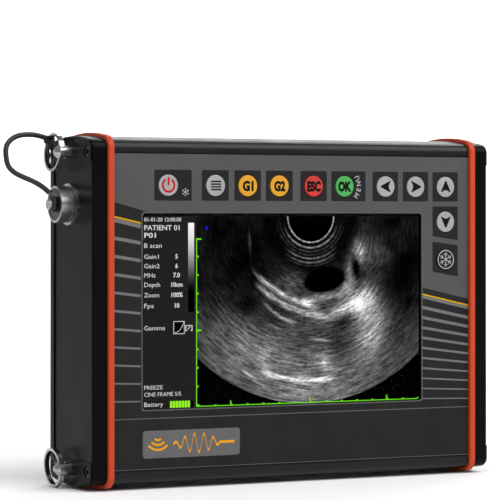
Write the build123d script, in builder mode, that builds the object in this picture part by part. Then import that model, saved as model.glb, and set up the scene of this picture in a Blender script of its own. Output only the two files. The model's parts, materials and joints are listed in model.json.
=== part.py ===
from build123d import *
import os
from math import cos, pi, radians, sin, sqrt, tan

# A portable ultrasound scanner: an extruded case between two end caps, with a control panel in
# its front, strap rings on its ends, a capped probe socket and a charging socket.
# Millimetres. +X runs to the right along the case, -Y is the front, +Z is up, and the origin is
# on the ground under the middle of the case.

os.makedirs("parts", exist_ok=True)

# ---------------------------------------------------------------- driving dimensions
# Case
case_length = 221.5
case_depth = 47.7
case_height = 166.9
crown_rise = 2.7
corner_radius = 4.5
case_wall = 3.0
cap_thickness = 8.35
band_width = 3.2
band_proud = 1.7
band_seat = 1.0
band_edge_radius = 0.7
foot_cut = 0.45

# End caps
field_recess = 0.6
field_top_drop = 12.55
field_bottom_rise = 12.5
cap_edge_radius = 0.7
rear_rim_width = 5.0
rear_bevel_depth = 0.2

# End screws
screw_inset = 5.0
screw_top_drop = 7.75
screw_bottom_rise = 8.0
screw_head_radius = 2.8
screw_head_height = 1.6
screw_head_depth = 2.1
screw_shank_radius = 1.5
screw_length = 14.0
screw_socket_width = 2.5
screw_socket_depth = 1.1
boss_radius = 3.8

# Control panel
panel_top_drop = 8.6
panel_bottom_rise = 8.0
panel_recess = 1.1
overlay_thickness = 0.8
shadow_groove = 0.8
opening_width = 155.1
opening_height = 93.2
opening_left_margin = 15.55
opening_top_drop = 28.35
opening_radius = 1.5
window_thickness = 0.8
window_lap = 1.4

# Keys: distance from the case's middle, and drop below the panel's top edge
key_row_drop = 14.95
key_places = {
    "key_power": (-70.3, key_row_drop),
    "key_menu": (-44.9, key_row_drop),
    "key_g1": (-27.3, key_row_drop),
    "key_g2": (-9.85, key_row_drop),
    "key_esc": (9.3, key_row_drop),
    "key_ok": (26.8, key_row_drop),
    "key_left": (50.4, key_row_drop),
    "key_right": (67.85, key_row_drop),
    "key_up": (85.5, key_row_drop),
    "key_down": (85.5, 32.45),
    "key_freeze": (85.5, 51.4),
}
key_radius = 5.1
key_proud = 0.6
key_flange_radius = 6.2
key_flange_height = 0.8
key_travel = 0.5
key_edge_radius = 0.35
dome_radius = 4.0
dome_height = 0.5
keypad_board_thickness = 1.6
keypad_left = -78.0
keypad_right = 93.0
keypad_column_left = 80.6
keypad_top_drop = 7.0
keypad_row_height = 15.5
keypad_column_height = 52.5
ribbon_width = 10.0
ribbon_thickness = 0.3

# Display
lcd_glass_width = 154.0
lcd_glass_height = 92.4
lcd_width = 165.0
lcd_height = 100.0
lcd_depth = 4.5
lcd_frame_thickness = 1.2
lcd_frame_border = 4.0
lcd_post_radius = 1.6
lcd_post_rise = 30.0

# Boards
board_thickness = 1.6
board_half_width = 86.0
board_bottom_rise = 22.75
board_top_drop = 18.15
board_rear_y = 0.0
standoff_radius = 3.0
standoff_bore_radius = 1.5
standoff_inset = 6.0
board_screw_radius = 1.45
board_screw_length = 8.0
board_screw_head_radius = 2.6
board_screw_head_height = 1.8
board_hole_radius = 1.7
beam_width = 60.0
beam_height = 80.0
beam_left = -92.0
beam_top_drop = 28.0
beam_gap = 6.4
beam_post_inset = 14.0
header_width = 10.0
header_height = 10.0
header_depth = 4.0
can_width = 30.0
can_height = 40.0
can_depth = 3.6
can_wall = 0.4
buzzer_radius = 6.0
buzzer_height = 9.0

# Battery
cell_radius = 9.1
cell_length = 65.0
cell_columns = 2
cell_rows = 3
cell_gap = 0.4
tray_wall = 1.4
tray_floor = 0.7
tray_bottom_rise = 27.0
lead_diameter = 2.4
lead_reach = 5.0

# Strap studs and split rings
stud_radius = 3.2
stud_length = 8.4
stud_tip_length = 2.2
stud_tip_radius = 1.1
stud_hole_reach = 4.5
stud_hole_radius = 2.0
stud_shank_radius = 2.5
stud_nut_radius = 4.0
stud_nut_height = 3.2
stud_top_drop = 7.75
stud_bottom_rise = 8.35
ring_outer_radius = 9.4
ring_wire_radial = 1.3
ring_wire_axial = 1.15
ring_coil_gap = 0.1
ring_end_slit = 0.3
ring_bridge_width = 3.0
ring_tilt = 4.0

# Probe socket and its dust cap, measured outward from the recessed face of the end cap
socket_drop = 32.65
flange_radius = 9.95
flange_thickness = 2.05
barrel_radius = 7.0
barrel_reach = 6.35
barrel_bore_radius = 5.5
barrel_tail = 8.0
socket_nut_radius = 11.0
socket_nut_height = 3.0
insert_setback = 0.4
contact_radius = 0.6
contact_depth = 3.0
contact_circle = 3.2
contact_count = 8
cap_skirt_gap = 0.45
cap_radius = 8.8
cap_reach = 8.6
cap_face_recess = 0.8
cap_web = 0.65
cap_rim = 1.2
cap_face_thickness = 0.35
seal_thickness = 0.4
seal_width = 1.4
knob_neck_radius = 1.5
knob_head_radius = 2.65
knob_head_height = 1.3
knob_tail_radius = 2.4
knob_tail_height = 0.35
eye_radius = 1.2

# Charging socket
charge_flange_radius = 7.5
charge_flange_thickness = 1.5
charge_barrel_radius = 5.75
charge_bore_radius = 4.3
charge_reach = 10.75
charge_bore_depth = 9.0
charge_bore_step = 0.5
charge_nut_radius = 8.5
charge_contacts = 4
charge_contact_circle = 2.0

# Tether cord, a limp cord from the upper left ring to the dust cap's eye
tether_diameter = 2.6
tether_upper = [
    (-116.4, 14.1, 167.3),
    (-121.2, 13.0, 168.6),
    (-127.6, 11.9, 169.0),
    (-133.6, 10.8, 168.2),
    (-138.0, 9.7, 165.7),
    (-140.5, 8.6, 162.2),
    (-140.5, 7.7, 158.3),
]
tether_lower = [
    (-140.5, 7.7, 158.3),
    (-140.5, 6.8, 154.4),
    (-137.8, 5.9, 150.9),
    (-133.4, 4.9, 148.6),
    (-128.8, 3.8, 146.7),
    (-124.2, 2.5, 144.2),
    (-120.9, 1.0, 140.9),
]

# Clearances
gap = 0.3
fit_gap = 0.1
hole_gap = 0.1

# ---------------------------------------------------------------- places that follow from them
end_x = case_length / 2
cap_inner_x = end_x - cap_thickness
panel_x = cap_inner_x - band_width
field_x = end_x - field_recess
front_y = -case_depth / 2
rear_y = case_depth / 2
bottom_z = band_proud - foot_cut
top_z = bottom_z + case_height
wall_front_y = front_y + case_wall
wall_rear_y = rear_y - case_wall
field_low = bottom_z + field_bottom_rise
field_high = top_z - field_top_drop

panel_top_z = top_z - panel_top_drop
panel_bottom_z = bottom_z + panel_bottom_rise
recess_y = front_y + panel_recess
overlay_y = recess_y - overlay_thickness
window_back_y = recess_y + window_thickness
opening_x = -panel_x + opening_left_margin + opening_width / 2
opening_z = panel_top_z - opening_top_drop - opening_height / 2

screw_y = rear_y - screw_inset
screw_top_z = top_z - screw_top_drop
screw_bottom_z = bottom_z + screw_bottom_rise
screw_points = [(y, z) for y in (-screw_y, screw_y) for z in (screw_bottom_z, screw_top_z)]

stud_top_z = top_z - stud_top_drop
stud_bottom_z = bottom_z + stud_bottom_rise
socket_z = top_z - socket_drop

key_back_y = wall_front_y + gap + key_flange_height
keypad_y = key_back_y + key_travel + dome_height + gap
keypad_back_y = keypad_y + keypad_board_thickness
keypad_top_z = panel_top_z - keypad_top_drop

lcd_front_y = window_back_y + hole_gap
lcd_body_y = wall_front_y + gap
lcd_back_y = lcd_body_y + lcd_depth
lcd_frame_y = lcd_back_y + hole_gap

board_front_y = board_rear_y - board_thickness
board_bottom_z = bottom_z + board_bottom_rise
board_top_z = top_z - board_top_drop
beam_rear_y = board_front_y - beam_gap
beam_front_y = beam_rear_y - board_thickness
beam_top_z = top_z - beam_top_drop
standoff_x = board_half_width - standoff_inset
standoff_points = [
    (-standoff_x, board_bottom_z + standoff_inset),
    (standoff_x, board_bottom_z + standoff_inset),
    (-standoff_x, board_top_z - standoff_inset),
    (standoff_x, board_top_z - standoff_inset),
    (0, board_top_z - standoff_inset),
]
beam_post_points = [
    (x, z)
    for x in (beam_left + beam_post_inset, beam_left + beam_width - beam_post_inset)
    for z in (beam_top_z - beam_height + standoff_inset, beam_top_z - standoff_inset)
]

tray_back_y = wall_rear_y - hole_gap
cell_y = tray_back_y - tray_floor - hole_gap - cell_radius
cell_pitch_x = cell_length + 2 * cell_gap
cell_pitch_z = 2 * cell_radius + cell_gap
tray_half_width = cell_columns * cell_pitch_x / 2 + tray_wall
tray_bottom_z = bottom_z + tray_bottom_rise
tray_height = cell_rows * cell_pitch_z + cell_gap + 2 * tray_wall
tray_front_y = cell_y - cell_radius - hole_gap


# ---------------------------------------------------------------- helpers
def finish(part, name):
    """Label a finished piece and write it as its own STEP file."""
    part.label = name
    export_step(part, f"parts/{name}.step")


def case_section(x, grow=0.0):
    """The case's outline across its length at x, moved out by grow all round."""
    half = case_depth / 2 + grow
    low = bottom_z - grow
    high = top_z + grow
    with BuildSketch(Plane.YZ.offset(x)) as section:
        with BuildLine():
            ThreePointArc((-half, high - crown_rise), (0, high), (half, high - crown_rise))
            Line((half, high - crown_rise), (half, low + crown_rise))
            ThreePointArc((half, low + crown_rise), (0, low), (-half, low + crown_rise))
            Line((-half, low + crown_rise), (-half, high - crown_rise))
        make_face()
        fillet(section.vertices(), corner_radius + grow)
    return section.sketch


def turned(outline, height, side=1):
    """A piece turned about the X direction at this height, from (x, radius) points."""
    with BuildPart() as piece:
        with BuildSketch(Plane.XZ):
            with BuildLine():
                Polyline(*[(side * x, height + radius) for x, radius in outline], close=True)
            make_face()
        revolve(axis=Axis((0, 0, height), (1, 0, 0)))
    return piece.part


def block(x_range, y_range, z_range):
    """A plain rectangular solid between the given limits."""
    with BuildPart() as piece:
        with BuildSketch(Plane.XY.offset(z_range[0])):
            with Locations(((x_range[0] + x_range[1]) / 2, (y_range[0] + y_range[1]) / 2)):
                Rectangle(x_range[1] - x_range[0], y_range[1] - y_range[0])
        extrude(amount=z_range[1] - z_range[0])
    return piece.part


def cord_radii(points):
    """The arc at each inner point of a route, as large as its two runs allow."""
    radii = []
    for before, point, after in zip(points, points[1:], points[2:]):
        run_in = Vector(*point) - Vector(*before)
        run_out = Vector(*after) - Vector(*point)
        half_turn = radians(run_in.get_angle(run_out)) / 2
        radii.append(0.45 * min(run_in.length, run_out.length) / tan(half_turn))
    return radii


def cord(points, diameter, name):
    """A round cord along straight runs joined by tangent arcs."""
    radii = cord_radii(points)
    with BuildPart() as tube:
        with BuildLine() as path:
            FilletPolyline(*points, radius=radii)
        route = path.wires()[0]
        with BuildSketch(Plane(origin=route @ 0, z_dir=route % 0)):
            Circle(diameter / 2)
        sweep(path=route)
    section_area = pi * diameter ** 2 / 4
    length = route.length
    print(name, "length", round(length, 2), "radii", [round(radius, 1) for radius in radii],
          "volume ratio", round(tube.part.volume / (section_area * length), 4))
    return tube.part


# ---------------------------------------------------------------- case
with BuildPart() as housing_profile:
    extrude(case_section(-panel_x), amount=2 * panel_x)
    extrude(case_section(-cap_inner_x, -band_seat), amount=2 * cap_inner_x)
    extrude(case_section(-cap_inner_x, -case_wall), amount=2 * cap_inner_x, mode=Mode.SUBTRACT)
    # Four screw bosses run the whole length
    with BuildSketch(Plane.YZ.offset(-cap_inner_x)):
        with Locations(*screw_points):
            Circle(boss_radius)
    extrude(amount=2 * cap_inner_x)
    for side in (-1, 1):
        with BuildSketch(Plane.YZ.offset(side * cap_inner_x)):
            with Locations(*screw_points):
                Circle(screw_shank_radius + hole_gap / 2)
        extrude(amount=-side * screw_length, mode=Mode.SUBTRACT)
    # The channel that the panel lies in, with a shadow groove above the panel
    with BuildSketch(Plane.XZ.offset(-front_y)):
        with Locations((0, (panel_bottom_z - gap + panel_top_z + shadow_groove) / 2)):
            Rectangle(2 * cap_inner_x, panel_top_z + shadow_groove - panel_bottom_z + gap)
    extrude(amount=-panel_recess, mode=Mode.SUBTRACT)
    # The window's pocket, and the opening for the display's glass behind it
    with BuildSketch(Plane.XZ.offset(-recess_y)):
        with Locations((opening_x, opening_z)):
            RectangleRounded(
                opening_width + 2 * (window_lap + hole_gap),
                opening_height + 2 * (window_lap + hole_gap),
                opening_radius,
            )
    extrude(amount=-window_thickness, mode=Mode.SUBTRACT)
    with BuildSketch(Plane.XZ.offset(-recess_y)):
        with Locations((opening_x, opening_z)):
            Rectangle(lcd_glass_width + 2 * gap, lcd_glass_height + 2 * gap)
        with Locations(*[(x, panel_top_z - drop) for x, drop in key_places.values()]):
            Circle(key_radius + gap)
    extrude(amount=-case_wall, mode=Mode.SUBTRACT)
finish(housing_profile.part, "housing_profile")

for side, side_name in ((-1, "left"), (1, "right")):
    socket_hole_radius = (barrel_radius if side < 0 else charge_barrel_radius) + hole_gap
    with BuildPart() as end_cap:
        extrude(case_section(side * cap_inner_x), amount=side * (cap_thickness - field_recess))
        fillet(end_cap.faces().sort_by(Axis.X)[-1 if side > 0 else 0].edges(), cap_edge_radius)
        # Raised pads above and below the middle field, and a raised rim behind it
        extrude(case_section(side * field_x, -cap_edge_radius), amount=side * field_recess)
        with BuildSketch(Plane.YZ.offset(side * end_x)):
            with Locations((rear_y - rear_rim_width - case_depth, (field_low + field_high) / 2)):
                Rectangle(2 * case_depth, field_high - field_low)
        extrude(amount=-side * field_recess, mode=Mode.SUBTRACT)
        # The rim slopes back a little towards the rear edge
        with BuildSketch(Plane.XY):
            with BuildLine():
                Polyline(
                    (side * end_x, rear_y - rear_rim_width),
                    (side * (end_x + 1), rear_y - rear_rim_width),
                    (side * (end_x + 1), rear_y + 1),
                    (side * (end_x - rear_bevel_depth), rear_y + 1),
                    (side * (end_x - rear_bevel_depth), rear_y),
                    close=True,
                )
            make_face()
        extrude(amount=top_z + 1, mode=Mode.SUBTRACT)
        # Screw heads sit in counterbores
        with BuildSketch(Plane.YZ.offset(side * cap_inner_x)):
            with Locations(*screw_points):
                Circle(screw_shank_radius + hole_gap)
            with Locations((0, stud_top_z), (0, stud_bottom_z)):
                Circle(stud_shank_radius + hole_gap)
            with Locations((0, socket_z)):
                Circle(socket_hole_radius)
        extrude(amount=side * cap_thickness, mode=Mode.SUBTRACT)
        with BuildSketch(Plane.YZ.offset(side * end_x)):
            with Locations(*screw_points):
                Circle(screw_head_radius + hole_gap)
        extrude(amount=-side * screw_head_depth, mode=Mode.SUBTRACT)
    finish(end_cap.part, f"end_cap_{side_name}")

    with BuildPart() as bumper:
        extrude(case_section(side * panel_x, band_proud), amount=side * band_width)
        fillet(bumper.edges().filter_by(GeomType.LINE), band_edge_radius)
        extrude(case_section(side * panel_x, -band_seat), amount=side * band_width, mode=Mode.SUBTRACT)
        # The flat foot that the scanner stands on
        with BuildSketch(Plane.XY):
            with Locations((side * (panel_x + band_width / 2), 0)):
                Rectangle(2 * band_width, 2 * case_depth)
        extrude(amount=-case_depth, mode=Mode.SUBTRACT)
    finish(bumper.part, f"bumper_{side_name}")

    with BuildPart() as end_screws:
        head_base_x = side * (end_x - screw_head_depth)
        with BuildSketch(Plane.YZ.offset(head_base_x)):
            with Locations(*screw_points):
                Circle(screw_head_radius)
        extrude(amount=side * screw_head_height)
        with BuildSketch(Plane.YZ.offset(head_base_x)):
            with Locations(*screw_points):
                Circle(screw_shank_radius)
        extrude(amount=-side * screw_length)
        with BuildSketch(Plane.YZ.offset(head_base_x + side * screw_head_height)):
            with Locations(*screw_points):
                RegularPolygon(screw_socket_width / sqrt(3), 6)
        extrude(amount=-side * screw_socket_depth, mode=Mode.SUBTRACT)
    finish(end_screws.part, f"end_screws_{side_name}")

# ---------------------------------------------------------------- control panel
with BuildPart() as front_overlay:
    with BuildSketch(Plane.XZ.offset(-recess_y)):
        with Locations((0, (panel_bottom_z + panel_top_z) / 2)):
            Rectangle(2 * panel_x - 2 * hole_gap, panel_top_z - panel_bottom_z)
        with Locations((opening_x, opening_z)):
            RectangleRounded(opening_width, opening_height, opening_radius, mode=Mode.SUBTRACT)
        with Locations(*[(x, panel_top_z - drop) for x, drop in key_places.values()]):
            Circle(key_radius + gap, mode=Mode.SUBTRACT)
    extrude(amount=overlay_thickness)
finish(front_overlay.part, "front_overlay")

with BuildPart() as display_window:
    with BuildSketch(Plane.XZ.offset(-recess_y)):
        with Locations((opening_x, opening_z)):
            RectangleRounded(
                opening_width + 2 * window_lap, opening_height + 2 * window_lap, opening_radius
            )
    extrude(amount=-window_thickness)
finish(display_window.part, "display_window")

for key_name, (key_x, key_drop) in key_places.items():
    key_z = panel_top_z - key_drop
    with BuildPart() as key:
        with BuildSketch(Plane.XZ.offset(-(wall_front_y + gap))):
            with Locations((key_x, key_z)):
                Circle(key_radius)
        extrude(amount=wall_front_y + gap - overlay_y + key_proud)
        fillet(key.faces().sort_by(Axis.Y)[0].edges(), key_edge_radius)
        with BuildSketch(Plane.XZ.offset(-(wall_front_y + gap))):
            with Locations((key_x, key_z)):
                Circle(key_flange_radius)
        extrude(amount=-key_flange_height)
    finish(key.part, key_name)

with BuildPart() as keypad_board:
    with BuildSketch(Plane.XZ.offset(-keypad_y)):
        with Locations(((keypad_left + keypad_right) / 2, keypad_top_z - keypad_row_height / 2)):
            Rectangle(keypad_right - keypad_left, keypad_row_height)
        with Locations(
            ((keypad_column_left + keypad_right) / 2, keypad_top_z - keypad_column_height / 2)
        ):
            Rectangle(keypad_right - keypad_column_left, keypad_column_height)
    extrude(amount=-keypad_board_thickness)
finish(keypad_board.part, "keypad_board")

with BuildPart() as key_domes:
    with BuildSketch(Plane.XZ.offset(-keypad_y)):
        with Locations(*[(x, panel_top_z - drop) for x, drop in key_places.values()]):
            Circle(dome_radius)
    extrude(amount=dome_height, taper=60)
finish(key_domes.part, "key_domes")

with BuildPart() as keypad_ribbon:
    ribbon_z = keypad_top_z - keypad_column_height + 3
    with BuildSketch(Plane.XY.offset(ribbon_z)):
        with Locations((keypad_column_left + ribbon_width / 2 + 1, (keypad_back_y + board_front_y) / 2)):
            Rectangle(ribbon_width, board_front_y - keypad_back_y)
    extrude(amount=ribbon_thickness)
finish(keypad_ribbon.part, "keypad_ribbon")

# ---------------------------------------------------------------- display
with BuildPart() as lcd_module:
    with BuildSketch(Plane.XZ.offset(-lcd_body_y)):
        with Locations((opening_x, opening_z)):
            Rectangle(lcd_glass_width, lcd_glass_height)
    extrude(amount=lcd_body_y - lcd_front_y)
    with BuildSketch(Plane.XZ.offset(-lcd_body_y)):
        with Locations((opening_x, opening_z)):
            Rectangle(lcd_width, lcd_height)
    extrude(amount=-lcd_depth)
finish(lcd_module.part, "lcd_module")

lcd_post_x = lcd_width / 2 + lcd_post_radius + gap
lcd_posts = [
    (opening_x + side_x * lcd_post_x, opening_z + side_z * lcd_post_rise)
    for side_x in (-1, 1)
    for side_z in (-1, 1)
]
with BuildPart() as lcd_frame:
    with BuildSketch(Plane.XZ.offset(-lcd_frame_y)):
        with Locations((opening_x, opening_z)):
            Rectangle(lcd_width + 2 * lcd_frame_border, lcd_height + 2 * lcd_frame_border)
            Rectangle(lcd_width / 2, lcd_height / 2, mode=Mode.SUBTRACT)
    extrude(amount=-lcd_frame_thickness)
    with BuildSketch(Plane.XZ.offset(-lcd_frame_y)):
        with Locations(*lcd_posts):
            Circle(lcd_post_radius)
    extrude(amount=lcd_frame_y - wall_front_y)
finish(lcd_frame.part, "lcd_frame")

# ---------------------------------------------------------------- boards
main_header_right = board_half_width - 4
main_header_top_z = socket_z - 8
with BuildPart() as main_board:
    with BuildSketch(Plane.XZ.offset(-board_front_y)):
        with Locations((0, (board_bottom_z + board_top_z) / 2)):
            Rectangle(2 * board_half_width, board_top_z - board_bottom_z)
        with Locations(*standoff_points):
            Circle(board_hole_radius, mode=Mode.SUBTRACT)
    extrude(amount=-board_thickness)
    add(block(
        (main_header_right - header_width, main_header_right),
        (board_front_y - header_depth, board_front_y),
        (main_header_top_z - header_height, main_header_top_z),
    ))
finish(main_board.part, "main_board")

with BuildPart() as board_standoffs:
    with BuildSketch(Plane.XZ.offset(-board_rear_y)):
        with Locations(*standoff_points):
            Circle(standoff_radius)
            Circle(standoff_bore_radius, mode=Mode.SUBTRACT)
    extrude(amount=-(wall_rear_y - board_rear_y))
    # Shorter posts carry the beamformer board in front
    with BuildSketch(Plane.XZ.offset(-board_front_y)):
        with Locations(*beam_post_points):
            Circle(standoff_radius)
    extrude(amount=beam_gap)
finish(board_standoffs.part, "board_standoffs")

with BuildPart() as board_screws:
    with BuildSketch(Plane.XZ.offset(-board_front_y)):
        with Locations(*standoff_points):
            Circle(board_screw_head_radius)
    extrude(amount=board_screw_head_height)
    with BuildSketch(Plane.XZ.offset(-board_front_y)):
        with Locations(*standoff_points):
            Circle(board_screw_radius)
    extrude(amount=-board_screw_length)
finish(board_screws.part, "board_screws")

header_left = beam_left + 2
header_top_z = beam_top_z - 20
with BuildPart() as beamformer_board:
    add(block(
        (beam_left, beam_left + beam_width),
        (beam_front_y, beam_rear_y),
        (beam_top_z - beam_height, beam_top_z),
    ))
    add(block(
        (header_left, header_left + header_width),
        (beam_rear_y, beam_rear_y + header_depth),
        (header_top_z - header_height, header_top_z),
    ))
finish(beamformer_board.part, "beamformer_board")

chip_sizes = [
    # distance right of the board's middle, rise above its foot, width, height
    (-70, 12, 14, 14),
    (-45, 12, 10, 6),
    (-12, 40, 24, 24),
    (20, 60, 18, 18),
    (20, 30, 12, 8),
    (45, 30, 12, 8),
    (45, 70, 14, 14),
    (70, 50, 10, 16),
    (0, 85, 20, 8),
]
chip_height = 1.5
with BuildPart() as board_chips:
    for chip_x, chip_rise, chip_width, chip_length in chip_sizes:
        with BuildSketch(Plane.XZ.offset(-board_front_y)):
            with Locations((chip_x, board_bottom_z + chip_rise)):
                Rectangle(chip_width, chip_length)
        extrude(amount=chip_height)
finish(board_chips.part, "board_chips")

can_x = beam_left + beam_width / 2
can_z = beam_top_z - beam_height / 2
with BuildPart() as shield_can:
    with BuildSketch(Plane.XZ.offset(-beam_front_y)):
        with Locations((can_x, can_z)):
            Rectangle(can_width, can_height)
    extrude(amount=can_depth)
    with BuildSketch(Plane.XZ.offset(-beam_front_y)):
        with Locations((can_x, can_z)):
            Rectangle(can_width - 2 * can_wall, can_height - 2 * can_wall)
    extrude(amount=can_depth - can_wall, mode=Mode.SUBTRACT)
finish(shield_can.part, "shield_can")

with BuildPart() as buzzer:
    with BuildSketch(Plane.XZ.offset(-board_rear_y)):
        with Locations((40, board_top_z - 30)):
            Circle(buzzer_radius)
            Circle(contact_radius, mode=Mode.SUBTRACT)
    extrude(amount=-buzzer_height)
finish(buzzer.part, "buzzer")

# ---------------------------------------------------------------- battery
cell_places = [
    (
        (column - (cell_columns - 1) / 2) * cell_pitch_x,
        tray_bottom_z + tray_wall + cell_gap + cell_radius + row * cell_pitch_z,
    )
    for column in range(cell_columns)
    for row in range(cell_rows)
]
with BuildPart() as battery_cells:
    for cell_x, cell_z in cell_places:
        with BuildSketch(Plane.YZ.offset(cell_x - cell_length / 2)):
            with Locations((cell_y, cell_z)):
                Circle(cell_radius)
        extrude(amount=cell_length)
finish(battery_cells.part, "battery_cells")

with BuildPart() as battery_tray:
    add(block(
        (-tray_half_width, tray_half_width),
        (tray_front_y, tray_back_y),
        (tray_bottom_z, tray_bottom_z + tray_height),
    ))
    inner_half_width = tray_half_width - tray_wall
    with BuildSketch(Plane.XZ.offset(-tray_front_y)):
        with Locations((0, tray_bottom_z + tray_height / 2)):
            Rectangle(2 * inner_half_width, tray_height - 2 * tray_wall)
    extrude(amount=-(tray_back_y - tray_floor - tray_front_y), mode=Mode.SUBTRACT)
finish(battery_tray.part, "battery_tray")

# ---------------------------------------------------------------- strap studs, nuts and rings
stud_end_x = end_x + stud_length
hole_x = end_x + stud_hole_reach
ring_inner_radius = ring_outer_radius - ring_wire_radial
ring_centre_y = (ring_outer_radius + sqrt(ring_inner_radius ** 2 - stud_radius ** 2)) / 2
ring_width = 2 * ring_wire_axial + ring_coil_gap

for side, side_name in ((-1, "left"), (1, "right")):
    for stud_z, level, lean in ((stud_top_z, "top", ring_tilt), (stud_bottom_z, "bottom", -ring_tilt)):
        with BuildPart() as strap_stud:
            add(turned(
                [
                    (cap_inner_x - stud_nut_height - 1, 0),
                    (cap_inner_x - stud_nut_height - 1, stud_shank_radius),
                    (end_x, stud_shank_radius),
                    (end_x, stud_radius),
                    (stud_end_x - stud_tip_length, stud_radius),
                    (stud_end_x, stud_tip_radius),
                    (stud_end_x, 0),
                ],
                stud_z,
                side,
            ))
            with BuildSketch(Plane.XY.offset(stud_z - stud_radius)):
                with Locations((side * hole_x, 0)):
                    Circle(stud_hole_radius)
            extrude(amount=2 * stud_radius, mode=Mode.SUBTRACT)
        finish(strap_stud.part, f"strap_stud_{side_name}_{level}")

        # A split ring: two flat coils joined over a short bridge, with a slit at each free end
        lean_angle = radians(lean)
        ring_plane = Plane(
            origin=(side * hole_x, 0, stud_z),
            x_dir=(0, 1, 0),
            z_dir=(cos(lean_angle), 0, side * sin(lean_angle)),
        )
        with BuildPart() as split_ring:
            with BuildSketch(ring_plane.offset(-ring_width / 2)):
                with Locations((ring_centre_y, 0)):
                    Circle(ring_outer_radius)
                    Circle(ring_inner_radius, mode=Mode.SUBTRACT)
            extrude(amount=ring_width)
            with BuildSketch(ring_plane.offset(-ring_coil_gap / 2)):
                with Locations((ring_centre_y, 0)):
                    Circle(ring_outer_radius + 1)
                    Circle(ring_inner_radius - 1, mode=Mode.SUBTRACT)
                    with Locations((0, -(ring_outer_radius + ring_inner_radius) / 2)):
                        Rectangle(ring_bridge_width, 2 * ring_wire_radial + 4, mode=Mode.SUBTRACT)
            extrude(amount=ring_coil_gap, mode=Mode.SUBTRACT)
            for end_side, depth in ((-1, -ring_width / 2), (1, 0.0)):
                with BuildSketch(ring_plane.offset(depth)):
                    slit_x = ring_centre_y + end_side * (ring_bridge_width / 2 + ring_end_slit)
                    with Locations((slit_x, -(ring_outer_radius + ring_inner_radius) / 2)):
                        Rectangle(ring_end_slit, 2 * ring_wire_radial + 2)
                extrude(amount=ring_width / 2, mode=Mode.SUBTRACT)
        finish(split_ring.part, f"ring_{side_name}_{level}")

with BuildPart() as stud_nuts:
    for side in (-1, 1):
        with BuildSketch(Plane.YZ.offset(side * cap_inner_x)):
            with Locations((0, stud_top_z), (0, stud_bottom_z)):
                RegularPolygon(stud_nut_radius, 6)
                Circle(stud_shank_radius + hole_gap / 2, mode=Mode.SUBTRACT)
        extrude(amount=-side * stud_nut_height)
finish(stud_nuts.part, "stud_nuts")

# ---------------------------------------------------------------- probe socket
barrel_end_x = field_x + barrel_reach
socket_tail_x = cap_inner_x - barrel_tail
with BuildPart() as probe_socket_shell:
    add(turned(
        [
            (socket_tail_x, barrel_bore_radius),
            (socket_tail_x, barrel_radius),
            (field_x, barrel_radius),
            (field_x, flange_radius),
            (field_x + flange_thickness, flange_radius),
            (field_x + flange_thickness, barrel_radius),
            (barrel_end_x, barrel_radius),
            (barrel_end_x, barrel_bore_radius),
        ],
        socket_z,
        -1,
    ))
finish(probe_socket_shell.part, "probe_socket_shell")

with BuildPart() as probe_socket_nut:
    with BuildSketch(Plane.YZ.offset(-cap_inner_x)):
        with Locations((0, socket_z)):
            RegularPolygon(socket_nut_radius, 6)
            Circle(barrel_radius + hole_gap / 2, mode=Mode.SUBTRACT)
    extrude(amount=socket_nut_height)
finish(probe_socket_nut.part, "probe_socket_nut")

with BuildPart() as probe_socket_insert:
    insert_face_x = barrel_end_x - insert_setback
    with BuildSketch(Plane.YZ.offset(-insert_face_x)):
        with Locations((0, socket_z)):
            Circle(barrel_bore_radius - hole_gap / 2)
    extrude(amount=insert_face_x - socket_tail_x)
    with BuildSketch(Plane.YZ.offset(-insert_face_x)):
        with Locations((0, socket_z)):
            with PolarLocations(contact_circle, contact_count):
                Circle(contact_radius)
    extrude(amount=contact_depth, mode=Mode.SUBTRACT)
finish(probe_socket_insert.part, "probe_socket_insert")

# ---------------------------------------------------------------- dust cap
skirt_x = field_x + flange_thickness + cap_skirt_gap
cap_end_x = field_x + cap_reach
cap_face_x = cap_end_x - cap_face_recess
cap_web_x = cap_face_x - cap_web
cap_bore_radius = barrel_radius + fit_gap
with BuildPart() as cap_shell:
    add(turned(
        [
            (skirt_x, cap_bore_radius),
            (skirt_x, cap_radius),
            (cap_end_x, cap_radius),
            (cap_end_x, cap_radius - cap_rim),
            (cap_face_x, cap_radius - cap_rim),
            (cap_face_x, knob_neck_radius + hole_gap / 2),
            (cap_web_x, knob_neck_radius + hole_gap / 2),
            (cap_web_x, cap_bore_radius),
        ],
        socket_z,
        -1,
    ))
finish(cap_shell.part, "cap_shell")

with BuildPart() as cap_face:
    add(turned(
        [
            (cap_face_x, knob_neck_radius + hole_gap / 2),
            (cap_face_x, cap_radius - cap_rim - hole_gap),
            (cap_face_x + cap_face_thickness, cap_radius - cap_rim - hole_gap),
            (cap_face_x + cap_face_thickness, knob_neck_radius + hole_gap / 2),
        ],
        socket_z,
        -1,
    ))
finish(cap_face.part, "cap_face")

with BuildPart() as cap_seal:
    add(turned(
        [
            (cap_web_x - seal_thickness, cap_bore_radius - hole_gap / 2 - seal_width),
            (cap_web_x - seal_thickness, cap_bore_radius - hole_gap / 2),
            (cap_web_x, cap_bore_radius - hole_gap / 2),
            (cap_web_x, cap_bore_radius - hole_gap / 2 - seal_width),
        ],
        socket_z,
        -1,
    ))
finish(cap_seal.part, "cap_seal")

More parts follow.
